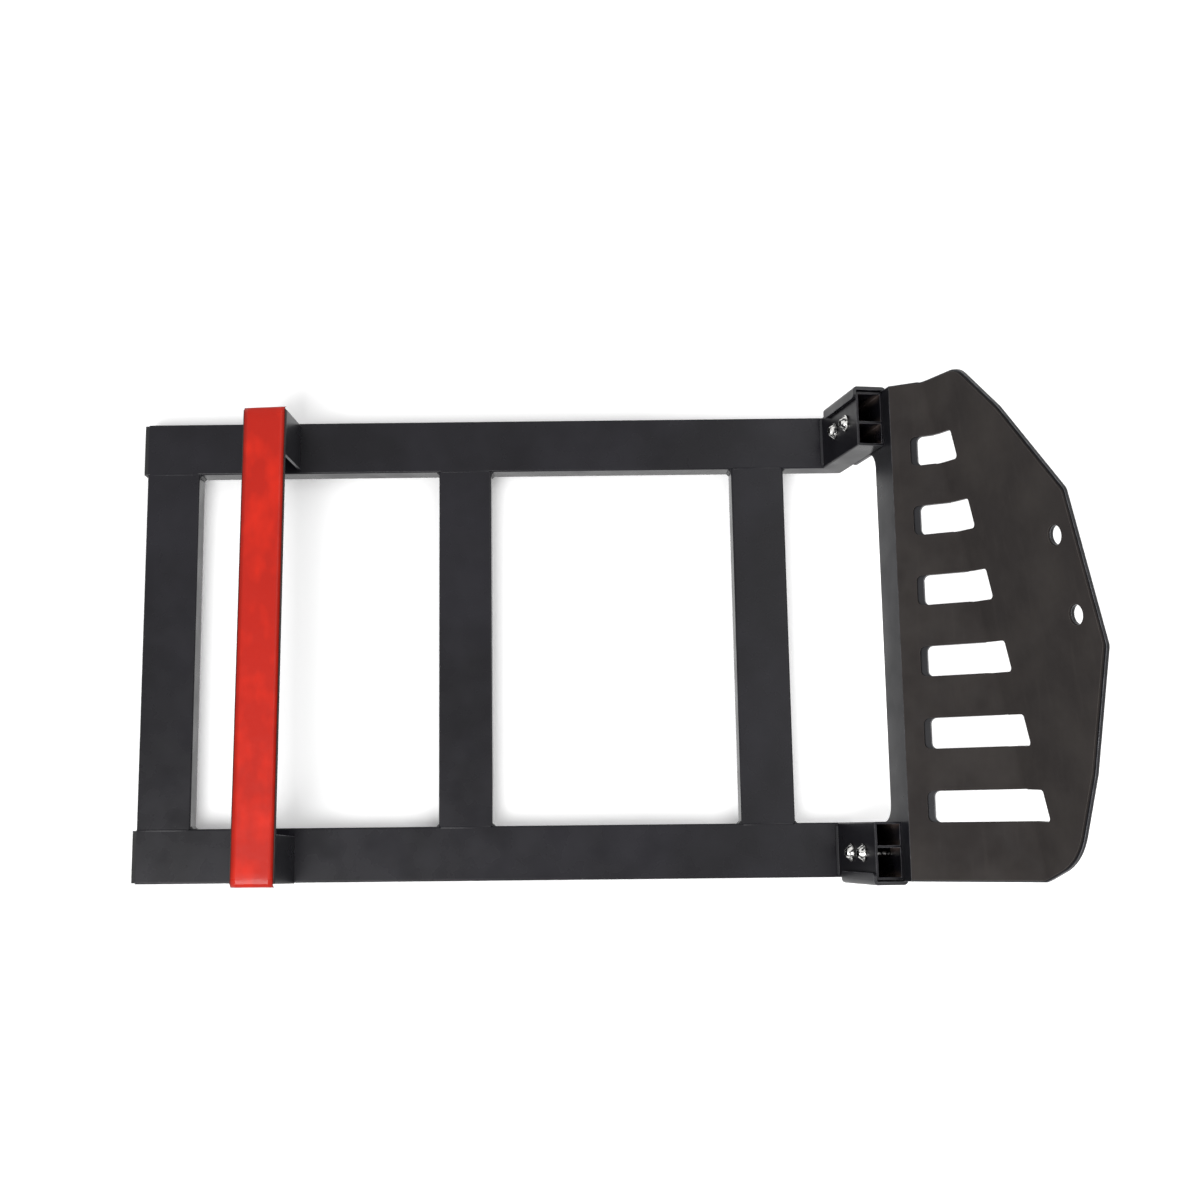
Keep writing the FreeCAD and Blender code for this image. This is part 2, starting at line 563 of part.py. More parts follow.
def build_fixing(side, sign, name, step):
    """One clamp bolt with its nut."""
    x = value(f"{sign} * (sizes.rail_spacing / 2 + sizes.bolt_offset)")
    y = value(f"sizes.bolt_low + {step} * sizes.bolt_pitch")
    place = ladder * ladder_arm * frame(x, y)
    label = f"{side}_{name}"
    build_bolt(label, place)
    nut = new_body(f"nut_{label}", place)
    flats = new_sketch(nut, "flats", offset=frame(z=value("sizes.tube_depth + sizes.sheet")))
    hexagon(flats, "sizes.nut_flats")
    circle(flats, "0", "0", "sizes.bolt_diameter + 2 * sizes.nut_clearance")
    pad(nut, flats, "sizes.nut_height")


def check_and_write():
    """Stops on any failed object, then writes each sub-part to its own file."""
    doc.recompute()
    for item in doc.Objects:
        if {"Invalid", "Error"} & set(item.State):
            raise RuntimeError(f"{item.Name} failed: {item.State}")
    for item in sub_parts:
        if item.Shape.isNull() or not item.Shape.isValid() or len(item.Shape.Solids) != 1:
            raise RuntimeError(f"{item.Label} is not one valid solid")
    os.makedirs("parts", exist_ok=True)
    for item in sub_parts:
        item.Shape.exportStep(os.path.join("parts", f"{item.Label}.step"))


for side, sign in SIDES:
    build_rail(side, sign)
    build_arm(side, sign)
    build_cap(side, sign)
for step, name in enumerate(RUNGS):
    build_rung(name, step)
build_standoff()
build_tape()
build_plate()
build_pad()
for side, sign in SIDES:
    for step, name in enumerate(BOLTS):
        build_fixing(side, sign, name, step)
check_and_write()
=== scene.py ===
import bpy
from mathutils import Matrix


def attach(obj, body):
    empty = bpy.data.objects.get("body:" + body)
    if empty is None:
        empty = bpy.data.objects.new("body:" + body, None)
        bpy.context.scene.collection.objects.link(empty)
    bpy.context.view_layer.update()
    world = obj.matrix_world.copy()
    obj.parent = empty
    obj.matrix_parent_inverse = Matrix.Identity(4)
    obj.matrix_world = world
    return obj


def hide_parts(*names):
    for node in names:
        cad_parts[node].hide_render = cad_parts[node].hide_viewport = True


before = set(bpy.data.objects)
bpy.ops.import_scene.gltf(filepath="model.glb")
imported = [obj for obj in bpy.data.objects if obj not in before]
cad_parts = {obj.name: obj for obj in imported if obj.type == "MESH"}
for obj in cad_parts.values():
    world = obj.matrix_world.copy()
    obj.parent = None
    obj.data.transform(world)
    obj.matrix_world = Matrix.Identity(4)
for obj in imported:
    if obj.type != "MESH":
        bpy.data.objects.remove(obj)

"""Dresses the side ladder: coats, rubber, film and steel, weld beads, turned film ends, light and camera."""
import logging
import math
from dataclasses import dataclass, field
from enum import Enum
from typing import Any, Sequence

import bmesh
import bpy
from mathutils import Matrix, Vector

LOG = logging.getLogger("side_ladder")
MM = 0.001
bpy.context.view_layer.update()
# Inputs and output of a Mix node that mixes colours.
FACTOR, FIRST, SECOND, MIXED = 0, 6, 7, 2


class Slot(Enum):
    """Two material slot names; nothing in this script uses them."""

    TUBE = "tube_coat"
    FILM = "liner_film"


def linear(code: str) -> tuple[float, float, float, float]:
    """Turns an sRGB hex code into a linear colour.

    Args:
        code: Six hex digits.

    Returns:
        Linear red, green and blue, and an alpha of one.
    """
    parts = [int(code[i:i + 2], 16) / 255 for i in (0, 2, 4)]
    red, green, blue = (c / 12.92 if c <= 0.04045 else ((c + 0.055) / 1.055) ** 2.4 for c in parts)
    return red, green, blue, 1.0


def per_mm(size: float) -> float:
    """Pattern scale for a feature of a real size.

    Args:
        size: Feature size in millimetres.

    Returns:
        Scale of a texture on object coordinates, which are in metres.
    """
    return 1000.0 / size


class Nodes:
    """Node tree of a material or world, with one short way to add a node."""

    def __init__(self, owner: bpy.types.Material | bpy.types.World, shader: str) -> None:
        """Opens the tree.

        Args:
            owner: Material or world.
            shader: Name of its own shader node.
        """
        owner.use_nodes = True
        self.tree = owner.node_tree
        self.shader = self.tree.nodes[shader]
        self.coords = self.add("TexCoord", "Object", {})

    def fill(self, node: bpy.types.Node, values: dict[str | int, Any]) -> None:
        """Sets up a node and fills or joins its inputs.

        Args:
            node: Node to set up.
            values: Settings by their small-letter names, and inputs by name or number.
        """
        for key, value in values.items():
            if isinstance(key, str) and key[0].islower():
                setattr(node, key, value)
            elif isinstance(value, bpy.types.NodeSocket):
                self.tree.links.new(value, node.inputs[key])
            else:
                node.inputs[key].default_value = value

    def add(self, kind: str, out: str | int, values: dict[str | int, Any]) -> bpy.types.NodeSocket:
        """Adds a node.

        Args:
            kind: Node type without its common beginning.
            out: Name or number of the output to use.
            values: Settings and inputs, as fill takes them.

        Returns:
            The output.
        """
        node = self.tree.nodes.new("ShaderNode" + kind)
        self.fill(node, values)
        return node.outputs[out]

    def soft_edge(self, radius: float) -> tuple[bpy.types.NodeSocket, bpy.types.NodeSocket]:
        """Rounds the shading of sharp edges.

        Args:
            radius: Edge radius in millimetres.

        Returns:
            Rounded normal, and a mask that is one along edges.
        """
        rounded = self.add("Bevel", "Normal", {"samples": 6, "Radius": radius * MM})
        flat = self.add("NewGeometry", "Normal", {})
        likeness = self.add("VectorMath", "Value", {"operation": "DOT_PRODUCT", 0: rounded, 1: flat})
        return rounded, self.add("MapRange", "Result", {"Value": likeness, "From Min": 0.995, "From Max": 0.8})


@dataclass(frozen=True)
class Coat:
    """Black powder coat or moulded plastic: satin, with fine peel, dust specks, edges painted paler partly as rubbing
    and partly as a painted highlight, and, where asked, painted bounce light in open bores.
    """

    name: str
    base: str
    pale: str
    edge: str
    roughness: float
    specular: float
    peel: float = 0.7
    inside: str = ""

    def build(self) -> bpy.types.Material:
        """Makes the material.

        Returns:
            Finished material.
        """
        material = bpy.data.materials.new(self.name)
        n = Nodes(material, "Principled BSDF")
        # Broad clouds keep the long flat faces from looking like one flat fill.
        cloud = n.add("TexNoise", "Fac", {"Vector": n.coords, "Scale": per_mm(70), "Detail": 3.0})
        cloud = n.add("MapRange", "Result", {"Value": cloud, "From Min": 0.38, "From Max": 0.66})
        colour = n.add("Mix", MIXED, {"data_type": "RGBA", FACTOR: cloud,
                                      FIRST: linear(self.base), SECOND: linear(self.pale)})
        # Specks of dust and coarse powder grain, drawn at 0.9 mm so that they show.
        speck = n.add("TexNoise", "Fac", {"Vector": n.coords, "Scale": per_mm(0.9), "Detail": 1.0})
        speck = n.add("MapRange", "Result", {"Value": speck, "From Min": 0.62, "From Max": 0.72, "To Max": 0.35})
        colour = n.add("Mix", MIXED, {"data_type": "RGBA", FACTOR: speck, FIRST: colour, SECOND: linear(self.pale)})
        if self.inside:
            # Painted bounce light: where occlusion is high, the bore of an open tube end is painted a paler brown
            # that stands in for light falling into it.
            open_air = n.add("AmbientOcclusion", "AO", {"samples": 8, "only_local": True, "Distance": 14 * MM})
            painted_bore_light = n.add("MapRange", "Result", {"Value": open_air, "From Min": 0.7, "From Max": 0.45})
            colour = n.add("Mix", MIXED, {"data_type": "RGBA", FACTOR: painted_bore_light,
                                          FIRST: colour, SECOND: linear(self.inside)})
        # Edges are painted paler in places, partly as rubbing and partly as a painted highlight where they catch the
        # light.
        normal, edge = n.soft_edge(0.7)
        rub_and_highlight = n.add("TexNoise", "Fac", {"Vector": n.coords, "Scale": per_mm(9), "Detail": 4.0})
        rub_and_highlight = n.add("MapRange", "Result",
                    {"Value": rub_and_highlight, "From Min": 0.4, "From Max": 0.7, "To Min": 0.25, "To Max": 0.9})
        rub_and_highlight = n.add("Math", 0, {"operation": "MULTIPLY", 0: edge, 1: rub_and_highlight})
        colour = n.add("Mix", MIXED, {"data_type": "RGBA", FACTOR: rub_and_highlight, FIRST: colour, SECOND: linear(self.edge)})
        # Handling marks shift the gloss a little, and the peel breaks up reflections.
        gloss = n.add("TexNoise", "Fac", {"Vector": n.coords, "Scale": per_mm(28), "Detail": 4.0})
        gloss = n.add("MapRange", "Result", {"Value": gloss, "From Min": 0.3, "From Max": 0.7,
                                             "To Min": self.roughness - 0.06, "To Max": self.roughness + 0.07})
        peel = n.add("TexNoise", "Fac", {"Vector": n.coords, "Scale": per_mm(self.peel), "Detail": 2.0})
        normal = n.add("Bump", "Normal", {"Height": peel, "Distance": 0.012 * MM, "Normal": normal})
        n.fill(n.shader, {"Base Color": colour, "Roughness": gloss, "Specular IOR Level": self.specular,
                          "Normal": normal})
        return material


@dataclass(frozen=True)
class Rubber:
    """Matte rubber or foam sheet with a fine grain, blotches and faint rubbed streaks."""

    name: str
    base: str
    worn: str
    roughness: float = 0.78

    def build(self) -> bpy.types.Material:
        """Makes the material.

        Returns:
            Finished material.
        """
        material = bpy.data.materials.new(self.name)
        n = Nodes(material, "Principled BSDF")
        # Brownish blotches of bloom, and streaks where the sheet was drawn over a table.
        blotch = n.add("TexNoise", "Fac", {"Vector": n.coords, "Scale": per_mm(55), "Detail": 4.0})
        blotch = n.add("MapRange", "Result", {"Value": blotch, "From Min": 0.4, "From Max": 0.68})
        colour = n.add("Mix", MIXED, {"data_type": "RGBA", FACTOR: blotch,
                                      FIRST: linear(self.base), SECOND: linear(self.worn)})
        drawn = n.add("Mapping", "Vector", {"Vector": n.coords, "Scale": Vector((0.12, 1.0, 1.0))})
        streak = n.add("TexNoise", "Fac", {"Vector": drawn, "Scale": per_mm(6), "Detail": 3.0})
        streak = n.add("MapRange", "Result", {"Value": streak, "From Min": 0.55, "From Max": 0.75, "To Max": 0.4})
        colour = n.add("Mix", MIXED, {"data_type": "RGBA", FACTOR: streak, FIRST: colour, SECOND: linear(self.worn)})
        # Edges are painted paler all round, a painted highlight where they catch the light.
        normal, edge = n.soft_edge(0.5)
        colour = n.add("Mix", MIXED, {"data_type": "RGBA", FACTOR: edge, FIRST: colour, SECOND: linear("57524F")})
        gloss = n.add("TexNoise", "Fac", {"Vector": n.coords, "Scale": per_mm(20), "Detail": 3.0})
        gloss = n.add("MapRange", "Result", {"Value": gloss, "From Min": 0.3, "From Max": 0.7,
                                             "To Min": self.roughness - 0.08, "To Max": self.roughness + 0.06})
        grain = n.add("TexNoise", "Fac", {"Vector": n.coords, "Scale": per_mm(0.8), "Detail": 3.0})
        normal = n.add("Bump", "Normal", {"Height": grain, "Distance": 0.03 * MM, "Normal": normal})
        n.fill(n.shader, {"Base Color": colour, "Roughness": gloss, "Specular IOR Level": 0.25, "Normal": normal})
        return material


@dataclass(frozen=True)
class Film:
    """Red silicone release film: brighter where it has lifted, wrinkled, taut and glossy at its turned ends."""

    name: str
    base: str
    deep: str
    lifted: str
    edge: str
    middle: Vector
    axes: tuple[Vector, Vector]
    reach: tuple[float, float]

    def build(self) -> bpy.types.Material:
        """Makes the material.

        Returns:
            Finished material.
        """
        material = bpy.data.materials.new(self.name)
        n = Nodes(material, "Principled BSDF")
        offset = n.add("VectorMath", "Vector", {"operation": "SUBTRACT", 0: n.coords, 1: self.middle})
        away = []
        for axis in self.axes:
            along = n.add("VectorMath", "Value", {"operation": "DOT_PRODUCT", 0: offset, 1: axis})
            away.append(n.add("Math", 0, {"operation": "ABSOLUTE", 0: along}))
        half_width, half_length = (size * MM for size in self.reach)
        # Soft patches where air lifts the film off the adhesive, over slow bands of deeper red.
        wave = n.add("TexNoise", "Fac", {"Vector": n.coords, "Scale": per_mm(90), "Detail": 2.0})
        wave = n.add("MapRange", "Result", {"Value": wave, "From Min": 0.35, "From Max": 0.65, "To Max": 0.35})
        colour = n.add("Mix", MIXED, {"data_type": "RGBA", FACTOR: wave,
                                      FIRST: linear(self.base), SECOND: linear(self.deep)})
        drawn = n.add("Mapping", "Vector", {"Vector": n.coords, "Scale": Vector((1.0, 1.0, 1.7))})
        patch = n.add("TexNoise", "Fac", {"Vector": drawn, "Scale": per_mm(34), "Detail": 2.0})
        patch = n.add("MapRange", "Result", {"Value": patch, "From Min": 0.48, "From Max": 0.76})
        colour = n.add("Mix", MIXED, {"data_type": "RGBA", FACTOR: patch, FIRST: colour, SECOND: linear(self.lifted)})
        # The film is darker in a thin band along both slit edges.
        rim = n.add("MapRange", "Result", {"Value": away[0], "From Min": half_width - 0.9 * MM,
                                           "From Max": half_width - 0.3 * MM, "To Max": 0.8})
        colour = n.add("Mix", MIXED, {"data_type": "RGBA", FACTOR: rim, FIRST: colour, SECOND: linear(self.edge)})
        gloss = n.add("MapRange", "Result", {"Value": away[1], "From Min": half_length - 8.0 * MM,
                                             "From Max": half_length - 4.5 * MM, "To Min": 0.36, "To Max": 0.08})
        normal, _ = n.soft_edge(0.8)
        wrinkle = n.add("TexNoise", "Fac", {"Vector": n.coords, "Scale": per_mm(14), "Detail": 3.0})
        normal = n.add("Bump", "Normal", {"Height": wrinkle, "Distance": 0.35 * MM, "Normal": normal})
        n.fill(n.shader, {"Base Color": colour, "Roughness": gloss, "Specular IOR Level": 0.22, "Normal": normal})
        return material


@dataclass(frozen=True)
class Steel:
    """Zinc-plated turned steel: bright, with painted light and dark blotches that stand in for reflections, and
    painted shade where little light reaches.
    """

    name: str
    base: str
    painted_dark_reflection: str
    roughness: float

    def build(self) -> bpy.types.Material:
        """Makes the material.

        Returns:
            Finished material.
        """
        material = bpy.data.materials.new(self.name)
        n = Nodes(material, "Principled BSDF")
        # Painted reflections: hard-edged light and dark blotches, as a small mirror-like head shows them.
        blotch = n.add("TexNoise", "Fac", {"Vector": n.coords, "Scale": per_mm(2.4), "Detail": 2.0})
        blotch = n.add("MapRange", "Result", {"Value": blotch, "From Min": 0.46, "From Max": 0.58})
        colour = n.add("Mix", MIXED, {"data_type": "RGBA", FACTOR: blotch,
                                      FIRST: linear(self.base), SECOND: linear(self.painted_dark_reflection)})
        # Painted shade: sockets and the shanks inside the tubes are painted dark where occlusion is high.
        open_air = n.add("AmbientOcclusion", "AO", {"samples": 8, "Distance": 16 * MM})
        painted_shade = n.add("MapRange", "Result", {"Value": open_air, "From Min": 0.62, "From Max": 0.45, "To Max": 0.97})
        colour = n.add("Mix", MIXED, {"data_type": "RGBA", FACTOR: painted_shade, FIRST: colour, SECOND: linear("0C0C0C")})
        gloss = n.add("TexNoise", "Fac", {"Vector": n.coords, "Scale": per_mm(1.5), "Detail": 3.0})
        gloss = n.add("MapRange", "Result", {"Value": gloss, "From Min": 0.3, "From Max": 0.7,
                                             "To Min": self.roughness, "To Max": self.roughness + 0.14})
        # Turning marks, drawn at 0.5 mm so that they show.
        normal, _ = n.soft_edge(0.35)
        drawn = n.add("Mapping", "Vector", {"Vector": n.coords, "Scale": Vector((1.0, 1.0, 4.0))})
        turned = n.add("TexNoise", "Fac", {"Vector": drawn, "Scale": per_mm(0.5), "Detail": 3.0})
        normal = n.add("Bump", "Normal", {"Height": turned, "Distance": 0.02 * MM, "Normal": normal})
        n.fill(n.shader, {"Base Color": colour, "Metallic": 1.0, "Roughness": gloss, "Normal": normal})
        return material


@dataclass
class Ladder:
    """Tube frame of rails, arms and rungs with the caps at its feet."""

    tubes: tuple[str, ...] = ("rail_left", "rail_right", "rung_bottom", "rung_middle", "rung_top")
    arms: tuple[str, ...] = ("arm_left", "arm_right")
    caps: tuple[str, ...] = ("end_cap_left", "end_cap_right")
    coat: Coat = Coat("powder_coated_tube", "131216", "1D1C21", "44444A", 0.27, 0.2)
    # The arm coat paints bounce light into its open bores and a pale highlight on its edges.
    arm_coat: Coat = Coat("powder_coated_arm", "0D0C10", "16161A", "808086", 0.31, 0.2, inside="5C504B")
    plastic: Coat = Coat("moulded_polypropylene", "121213", "1C1C1E", "3A3A3C", 0.55, 0.3, 1.2)

    def build(self) -> None:
        """Gives the tubes, arms and caps their finish."""
        paint(self.tubes, self.coat.build())
        paint(self.arms, self.arm_coat.build())
        paint(self.caps, self.plastic.build())


@dataclass
class RoofPlate:
    """Folded sheets, and the rubber pad of the roof plate."""

    # The sheet coat's pale edge colour paints a highlight on the cut sheet edges, broken up like rubbing.
    coat: Coat = Coat("powder_coated_sheet", "121215", "1C1C20", "A8A8AE", 0.32, 0.34)
    rubber: Rubber = Rubber("epdm_rubber", "231F1E", "2D2927")

    def build(self) -> None:
        """Gives the folded sheets and the pad their finish."""
        paint(("mount_plate", "standoff_bracket"), self.coat.build())
        paint(("plate_pad",), self.rubber.build())


@dataclass
class Standoff:
    """Foam tape and release film on the standoff bar."""

    middle: Vector = field(default_factory=lambda: Vector((-0.02187, -0.18979, -0.67349)))
    along: Vector = field(default_factory=lambda: Vector((0.99961, -0.027819, 0.002385)))
    out: Vector = field(default_factory=lambda: Vector((0.027922, 0.995957, -0.085384)))
    half_width: float = 19.4
    half_length: float = 220.0
    turn: float = 4.5
    turn_steps: int = 6
    drop: float = 5.0
    stretch: float = 0.6
    sunk: float = 0.1
    thickness: float = 0.3
    columns: int = 8
    rows: int = 48
    wave_height: float = 0.1
    wave_clear: float = 3.0
    long_wave: float = 19.0
    cross_wave: float = 31.0
    short_wave: float = 7.3
    foam: Rubber = Rubber("acrylic_foam", "2A1E1D", "3A2B29", 0.85)

    def build(self) -> None:
        """Builds the film as one sheet with rounded turned ends, and dresses the tape."""
        across = self.along.cross(self.out)
        film = Film("silicone_release_film", "AA1A0A", "9E1708", "C2210C", "6A1208", self.middle,
                    (across, self.along), (self.half_width, self.half_length))
        paint(("adhesive_tape",), self.foam.build())
        sheet = self.film_sheet(across)
        sheet.data.materials.append(film.build())
        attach(sheet, "root")
        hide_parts("release_liner")

    def profile(self) -> list[tuple[float, float]]:
        """Side view of the film: along the bar, and out of the seat from its top, in millimetres.

        Returns:
            Points from one turned end over the bar to the other.
        """
        end = self.half_length + self.stretch
        flat = end - self.turn
        curve = [(end, -self.drop)]
        for step in range(self.turn_steps + 1):
            angle = math.radians(90 * step / self.turn_steps)
            curve.append((flat + self.turn * math.cos(angle), self.turn * (math.sin(angle) - 1)))
        middle = [(flat * (1 - 2 * step / self.rows), 0.0) for step in range(1, self.rows)]
        return curve + middle + [(-x, y) for x, y in reversed(curve)]

    def film_sheet(self, across: Vector) -> bpy.types.Object:
        """Draws the side view across the bar, ripples it and thickens it.

        Args:
            across: Direction across the bar.

        Returns:
            Film object.
        """
        mesh = bmesh.new()
        start = self.middle - (across * self.half_width + self.out * self.sunk) * MM
        verts = [mesh.verts.new(start + (self.along * x + self.out * y) * MM) for x, y in self.profile()]
        edges = [mesh.edges.new(pair) for pair in zip(verts, verts[1:])]
        for _ in range(self.columns):
            _, edges = draw_out(mesh, edges, across * (2 * self.half_width / self.columns * MM))
        for vert in mesh.verts:
            x, z = ((vert.co - self.middle).dot(axis) / MM for axis in (self.along, across))
            if abs(x) < self.half_length - self.wave_clear:
                wave = math.sin(x / self.long_wave + z / self.cross_wave) * math.sin(x / self.short_wave)
                vert.co += self.out * (self.wave_height * wave * MM)
        bmesh.ops.recalc_face_normals(mesh, faces=mesh.faces)
        bmesh.ops.solidify(mesh, geom=mesh.faces[:], thickness=self.thickness * MM)
        return finish_mesh("release_film", mesh)


@dataclass
class Welds:
    """Rippled fillets at the rungs and mitres, and seams ground flush on the tubes' broad faces."""

    leg: float = 2.2
    ripple: float = 1.9
    spacing: float = 387.5
    width: float = 50.0
    depth: float = 25.0
    corner: float = 652.0
    arm_angle: float = 80.0
    heights: tuple[float, ...] = (25.0, 306.5, 588.0)
    inset: float = 1.2
    root: float = 0.2
    hollow: float = 0.2
    ripple_share: float = 0.14
    arc_steps: int = 6
    steps_per_mm: int = 2
    ease_start: float = 0.5
    ease_length: float = 2.5
    mitre_gap: float = 1.5
    seam_inset: float = 0.8
    seam_width: float = 2.6
    seam_depth: float = 1.64
    seam_gap: float = 1.6
    seam_bevel: float = 0.25
    origin: Vector = field(default_factory=lambda: Vector((21.94135, 255.0825, 795.47443)))
    coat: Coat = Coat("powder_coated_weld", "121215", "1E1E22", "66666A", 0.31, 0.3, 1.4)
    ground: Coat = Coat("powder_coated_seam", "131216", "1D1C21", "201F24", 0.27, 0.2)

    def build(self) -> None:
        """Builds the fillets and the seams as two pieces."""
        beads, seams = bmesh.new(), bmesh.new()
        inner = (self.spacing - self.width) / 2
        for height in self.heights:
            for x_sign in (-1, 1):
                for z_sign in (-1, 1):
                    if height > self.heights[0] or z_sign > 0:
                        start = Vector((x_sign * inner, -self.inset, height + z_sign * self.width / 2))
                        sides = Vector((-x_sign, 0, 0)), Vector((0, 0, z_sign))
                        self.bead(beads, start, Vector((0, 2 * self.inset - self.depth, 0)), sides)
                for y in (-self.seam_inset, self.seam_inset - self.depth):
                    self.seam(seams, Vector((x_sign * (inner + self.seam_inset), y, height)))
        lean = math.radians(self.arm_angle)
        for x_sign in (-1, 1):
            start = Vector((x_sign * self.spacing / 2 - self.width / 2 + self.mitre_gap, 0, self.corner))
            sides = Vector((0, math.sin(lean), math.cos(lean))), Vector((0, 0, -1))
            self.bead(beads, start, Vector((self.width - 2 * self.mitre_gap, 0, 0)), sides)
        self.dress("weld_beads", beads, self.coat)
        self.dress("ground_seams", seams, self.ground)

    def dress(self, name: str, mesh: bmesh.types.BMesh, coat: Coat) -> None:
        """Turns a working mesh into a painted piece of the ladder.

        Args:
            name: Piece name.
            mesh: Working mesh in the ladder's own millimetres.
            coat: Finish of the piece.
        """
        bmesh.ops.translate(mesh, vec=-self.origin, verts=mesh.verts)
        bmesh.ops.scale(mesh, vec=(MM, MM, MM), verts=mesh.verts)
        bmesh.ops.recalc_face_normals(mesh, faces=mesh.faces)
        piece = finish_mesh(name, mesh)
        piece.data.materials.append(coat.build())
        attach(piece, "root")

    def seam(self, mesh: bmesh.types.BMesh, middle: Vector) -> None:
        """Adds one flush seam that fills the groove between a rung and a rail.

        Args:
            mesh: Mesh that takes the seam.
            middle: Middle of the groove.
        """
        size = Matrix.Diagonal((self.seam_width, self.seam_depth, self.width - 2 * self.seam_gap, 1.0))
        made = bmesh.ops.create_cube(mesh, size=1.0, matrix=Matrix.Translation(middle) @ size)
        edges = list({edge for vert in made["verts"] for edge in vert.link_edges})
        bmesh.ops.bevel(mesh, geom=edges, offset=self.seam_bevel, segments=2, profile=0.5, affect="EDGES",
                        material=-1)

    def bead(self, mesh: bmesh.types.BMesh, start: Vector, run: Vector, sides: tuple[Vector, Vector]) -> None:
        """Adds one rippled fillet along an inside corner.

        Args:
            mesh: Mesh that takes the fillet.
            start: One end of the corner.
            run: From that end to the other.
            sides: Directions along the two faces, away from the corner.
        """
        count = round(run.length * self.steps_per_mm)
        sizes = [self.swell(run.length * step / count, run.length) for step in range(count + 1)]
        ring = [start - (sides[0] + sides[1]) * self.root]
        for part in range(self.arc_steps + 1):
            angle = math.radians(90 * part / self.arc_steps)
            reach = self.leg * (1.0 - self.hollow * math.sin(2 * angle))
            ring.append(start + (sides[0] * math.cos(angle) + sides[1] * math.sin(angle)) * reach)
        verts = [mesh.verts.new(start + (point - start) * sizes[0]) for point in ring]
        edges = [mesh.edges.new(pair) for pair in zip(verts, verts[1:] + verts[:1])]
        bmesh.ops.contextual_create(mesh, geom=edges)
        for step in range(1, count + 1):
            verts, edges = draw_out(mesh, edges, run / count)
            middle = Matrix.Translation(-start - run * (step / count))
            growth = sizes[step] / sizes[step - 1]
            bmesh.ops.scale(mesh, vec=(growth, growth, growth), space=middle, verts=verts)
        bmesh.ops.contextual_create(mesh, geom=edges)

    def swell(self, travel: float, length: float) -> float:
        """Size of a fillet along its run, rippled and eased at both ends.

        Args:
            travel: Distance from the start.
            length: Length of the run.

        Returns:
            Share of the full size.
        """
        ease = min(1.0, (min(travel, length - travel) + self.ease_start) / self.ease_length)
        return ease * (1.0 + self.ripple_share * abs(math.sin(math.pi * travel / self.ripple)))


@dataclass
class Fixings:
    """Clamp bolts with their nuts."""

    bright: Steel = Steel("zinc_plated_steel", "E4E3E0", "2A2A2C", 0.08)
    dull: Steel = Steel("dull_zinc_steel", "5E5D5C", "3A3938", 0.35)

    def build(self) -> None:
        """Gives the fixings their finish."""
        for kind, steel in (("bolt", self.bright), ("nut", self.dull)):
            paint([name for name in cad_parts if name.split("_")[0] == kind], steel.build())


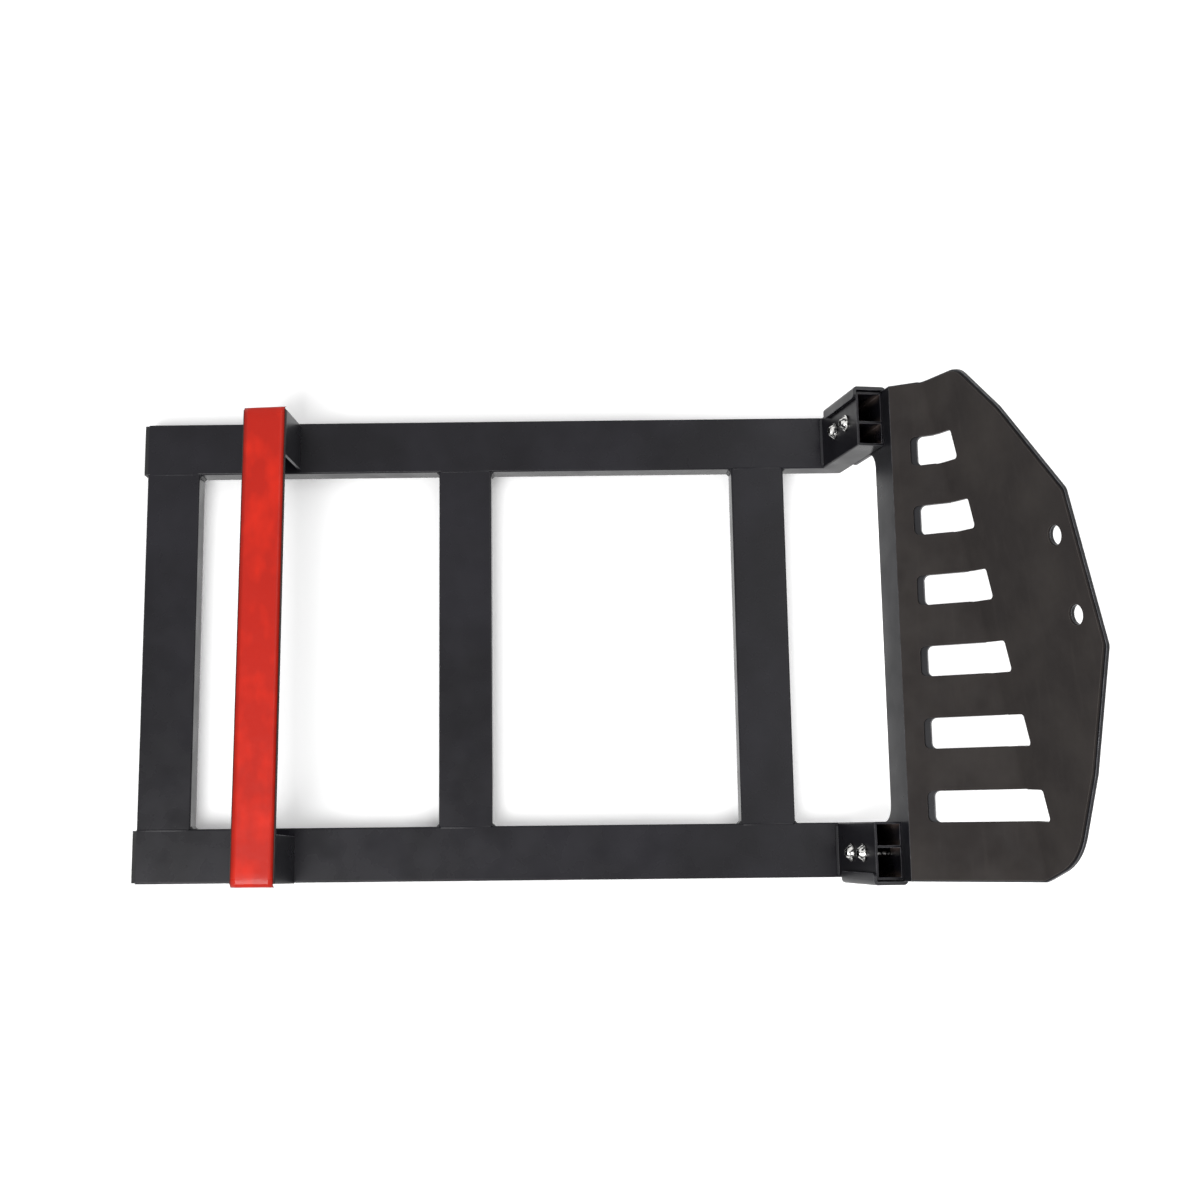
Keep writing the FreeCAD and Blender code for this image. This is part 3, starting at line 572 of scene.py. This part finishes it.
@dataclass
class Studio:
    """Pale surface under the ladder's outer faces, soft light and the photograph's camera."""

    floor_y: float = -0.2805
    floor_half: float = 4.0
    target: Vector = field(default_factory=lambda: Vector((0, -0.25, -0.4)))
    camera_place: Vector = field(default_factory=lambda: Vector((-0.195021, 1.240297, -0.402904)))
    camera_right: Vector = field(default_factory=lambda: Vector((-0.010378, -0.00417, 0.999937)))
    camera_up: Vector = field(default_factory=lambda: Vector((0.98623, 0.16502, 0.010924)))
    lens: float = 47.594
    sensor: float = 36.0
    key_place: Vector = field(default_factory=lambda: Vector((-1.05, 1.7, -1.25)))
    key_size: float = 1.3
    key_power: float = 40.0
    fill_place: Vector = field(default_factory=lambda: Vector((0.4, 1.8, 0.9)))
    fill_size: float = 1.8
    fill_power: float = 15.0
    room_light: float = 0.7
    shift: tuple[float, float] = (0.04037, -0.02947)

    def build(self) -> None:
        """Sets up world, floor, lights and camera."""
        scene = bpy.context.scene
        scene.view_settings.view_transform = "Standard"
        self.build_world(scene)
        self.build_floor()
        self.add_light("key", self.key_place, self.key_size, self.key_power)
        self.add_light("fill", self.fill_place, self.fill_size, self.fill_power)
        self.build_camera(scene)

    def build_world(self, scene: bpy.types.Scene) -> None:
        """White for the camera and mirrors, softer for the light that falls on the ladder.

        Args:
            scene: Scene that takes the world.
        """
        world = bpy.data.worlds.new("studio")
        n = Nodes(world, "Background")
        seen = n.add("LightPath", "Is Camera Ray", {})
        for name in ("Is Glossy Ray", "Is Transmission Ray"):
            seen = n.add("Math", 0, {"operation": "MAXIMUM", 0: seen, 1: n.add("LightPath", name, {})})
        strength = n.add("MapRange", "Result", {"Value": seen, "To Min": self.room_light})
        n.fill(n.shader, {"Color": (1.0, 1.0, 1.0, 1.0), "Strength": strength})
        scene.world = world

    def build_floor(self) -> None:
        """Large pale sheet that the ladder lies on, clear from behind."""
        mesh = bmesh.new()
        place = Matrix.Translation((0, self.floor_y, self.target.z)) @ Matrix.Rotation(math.radians(-90), 4, "X")
        bmesh.ops.create_grid(mesh, x_segments=1, y_segments=1, size=self.floor_half, matrix=place)
        floor = finish_mesh("floor", mesh)
        material = bpy.data.materials.new("white_paper")
        n = Nodes(material, "Principled BSDF")
        tone = n.add("TexNoise", "Fac", {"Vector": n.coords, "Scale": per_mm(400), "Detail": 2.0})
        colour = n.add("Mix", MIXED, {"data_type": "RGBA", FACTOR: tone,
                                      FIRST: linear("F7F7F7"), SECOND: linear("FAFAFA")})
        # Painted light: the paper glows brighter under the roof plate, washing out its shadow there, so that its
        # slots show white.
        height = n.add("SeparateXYZ", "Z", {"Vector": n.coords})
        glow = n.add("MapRange", "Result", {"Value": height, "From Min": -0.32, "From Max": -0.16,
                                            "To Min": 0.12, "To Max": 0.34})
        # Well away from the ladder the glow rises until the paper runs out into the white of the room.
        middle = Vector((0, self.floor_y, self.target.z))
        away = n.add("VectorMath", "Value", {"operation": "DISTANCE", 0: n.coords, 1: middle})
        away = n.add("MapRange", "Result", {"Value": away, "From Min": 0.75, "From Max": 1.4})
        glow = n.add("Math", 0, {"operation": "MAXIMUM", 0: glow, 1: away})
        n.fill(n.shader, {"Base Color": colour, "Roughness": 0.9, "Specular IOR Level": 0.1,
                          "Emission Color": (1.0, 1.0, 1.0, 1.0), "Emission Strength": glow})
        surface = n.add("MixShader", 0, {0: n.add("NewGeometry", "Backfacing", {}), 1: n.shader.outputs["BSDF"],
                                         2: n.add("BsdfTransparent", "BSDF", {})})
        n.fill(n.tree.nodes["Material Output"], {"Surface": surface})
        floor.data.materials.append(material)
        floor.visible_diffuse = floor.visible_glossy = floor.visible_shadow = False

    def add_light(self, name: str, place: Vector, size: float, power: float) -> None:
        """Adds a square soft light that looks at the ladder's middle.

        Args:
            name: Light name.
            place: Position in metres.
            size: Edge length in metres.
            power: Power in watts.
        """
        data = bpy.data.lights.new(name, "AREA")
        data.size = size
        data.energy = power
        light = bpy.data.objects.new(name, data)
        light.location = place
        light.rotation_euler = (self.target - place).to_track_quat("-Z", "Y").to_euler()
        bpy.context.collection.objects.link(light)

    def build_camera(self, scene: bpy.types.Scene) -> None:
        """Camera at the photograph's viewpoint.

        Args:
            scene: Scene that takes the camera.
        """
        data = bpy.data.cameras.new("photo_camera")
        data.lens = self.lens
        data.sensor_width = self.sensor
        data.shift_x, data.shift_y = self.shift
        data.clip_start, data.clip_end = 0.05, 30.0
        camera = bpy.data.objects.new("photo_camera", data)
        back = self.camera_right.cross(self.camera_up)
        turn = Matrix((self.camera_right, self.camera_up, back)).transposed()
        camera.matrix_world = Matrix.Translation(self.camera_place) @ turn.to_4x4()
        bpy.context.collection.objects.link(camera)
        scene.camera = camera


def paint(names: Sequence[str], material: bpy.types.Material) -> None:
    """Gives CAD nodes a material.

    Args:
        names: Node names.
        material: Material for all their slots.
    """
    for name in names:
        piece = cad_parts[name]
        if not piece.material_slots:
            piece.data.materials.append(material)
        for slot in piece.material_slots:
            slot.material = material


def draw_out(mesh: bmesh.types.BMesh, edges: Sequence[bmesh.types.BMEdge],
             step: Vector) -> tuple[list[bmesh.types.BMVert], list[bmesh.types.BMEdge]]:
    """Extrudes a line of edges by one step.

    Args:
        mesh: Mesh that holds the edges.
        edges: Edges to extrude.
        step: Way to move the new edges.

    Returns:
        New vertices, and the new edges between them.
    """
    made = bmesh.ops.extrude_edge_only(mesh, edges=edges)["geom"]
    verts = [item for item in made if isinstance(item, bmesh.types.BMVert)]
    fresh = set(verts)
    ahead = [item for item in made if isinstance(item, bmesh.types.BMEdge) and fresh.issuperset(item.verts)]
    bmesh.ops.translate(mesh, vec=step, verts=verts)
    return verts, ahead


def finish_mesh(name: str, mesh: bmesh.types.BMesh) -> bpy.types.Object:
    """Turns a working mesh into a smooth-shaded object in the scene.

    Args:
        name: Object name.
        mesh: Working mesh, freed here.

    Returns:
        New object.
    """
    for face in mesh.faces:
        face.smooth = True
    data = bpy.data.meshes.new(name)
    mesh.to_mesh(data)
    mesh.free()
    piece = bpy.data.objects.new(name, data)
    bpy.context.collection.objects.link(piece)
    return piece


def main() -> None:
    """Dresses the ladder and sets the scene."""
    logging.basicConfig(level=logging.INFO)
    for assembly in (Ladder(), RoofPlate(), Standoff(), Welds(), Fixings(), Studio()):
        assembly.build()
        LOG.info("%s done", type(assembly).__name__)


if __name__ == "__main__":
    main()
